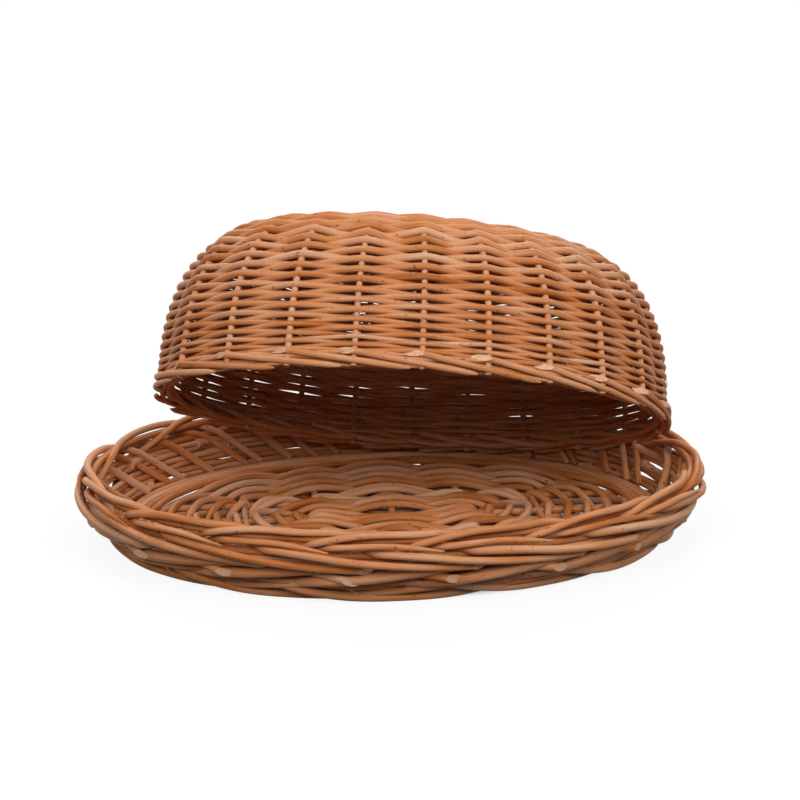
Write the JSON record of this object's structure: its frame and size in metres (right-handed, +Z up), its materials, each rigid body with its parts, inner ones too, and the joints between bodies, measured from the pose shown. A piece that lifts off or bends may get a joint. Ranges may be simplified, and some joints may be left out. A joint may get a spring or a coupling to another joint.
{
  "type": "wicker bread box",
  "caption": "Oval wicker bread box: a low woven tray with a rolled border and a foot ring, and a loose domed woven lid with a plaited rim that tilts up to open.",
  "frame": {"origin": "under the tray's centre, on the surface that the foot stands on", "axes": "+X along the tray's length, +Y towards the side that the lid stands down on, +Z up"},
  "size_m": [0.44, 0.332, 0.2261],
  "materials": {
    "willow_weave": "satin",
    "willow_border": "satin",
    "willow_stake": "satin",
    "willow_stick": "satin"
  },
  "bodies": {
    "tray": {"tray_foot": "willow_border", "tray_border": "willow_border", "tray_wall": "willow_weave", "tray_base_weave": "willow_weave", "tray_base_long_stick_1": "willow_stick", "tray_base_long_stick_2": "willow_stick", "tray_base_long_stick_3": "willow_stick", "tray_base_short_stick_1": "willow_stick", "tray_base_short_stick_2": "willow_stick", "tray_base_short_stick_3": "willow_stick", "tray_base_short_stick_4": "willow_stick", "tray_base_short_stick_5": "willow_stick", "tray_stake_01": "willow_stake", "tray_stake_02": "willow_stake", "tray_stake_03": "willow_stake", "tray_stake_04": "willow_stake", "tray_stake_05": "willow_stake", "tray_stake_06": "willow_stake", "tray_stake_07": "willow_stake", "tray_stake_08": "willow_stake", "tray_stake_09": "willow_stake", "tray_stake_10": "willow_stake", "tray_stake_11": "willow_stake", "tray_stake_12": "willow_stake", "tray_stake_13": "willow_stake", "tray_stake_14": "willow_stake", "tray_stake_15": "willow_stake", "tray_stake_16": "willow_stake"},
    "lid": {"lid_rim_border": "willow_border", "lid_side_weave": "willow_weave", "lid_shoulder_weave": "willow_weave", "lid_top_weave": "willow_weave", "lid_crown_weave": "willow_weave", "lid_crown_long_stick_1": "willow_stick", "lid_crown_long_stick_2": "willow_stick", "lid_crown_short_stick_1": "willow_stick", "lid_crown_short_stick_2": "willow_stick", "lid_crown_short_stick_3": "willow_stick", "lid_stake_01": "willow_stake", "lid_stake_02": "willow_stake", "lid_stake_03": "willow_stake", "lid_stake_04": "willow_stake", "lid_stake_05": "willow_stake", "lid_stake_06": "willow_stake", "lid_stake_07": "willow_stake", "lid_stake_08": "willow_stake", "lid_stake_09": "willow_stake", "lid_stake_10": "willow_stake", "lid_stake_11": "willow_stake", "lid_stake_12": "willow_stake", "lid_stake_13": "willow_stake", "lid_stake_14": "willow_stake", "lid_stake_15": "willow_stake", "lid_stake_16": "willow_stake", "lid_stake_17": "willow_stake", "lid_stake_18": "willow_stake", "lid_stake_19": "willow_stake", "lid_stake_20": "willow_stake", "lid_stake_21": "willow_stake", "lid_stake_22": "willow_stake"}
  },
  "joints": [
    {"name": "lid_tilt", "type": "hinge", "parent": "tray", "child": "lid", "pos_m": [0.06193, 0.11708, 0.0155], "axis": [-0.9606, 0.2321, 0.153], "range_deg": [-29.3, 2.4]}
  ]
}
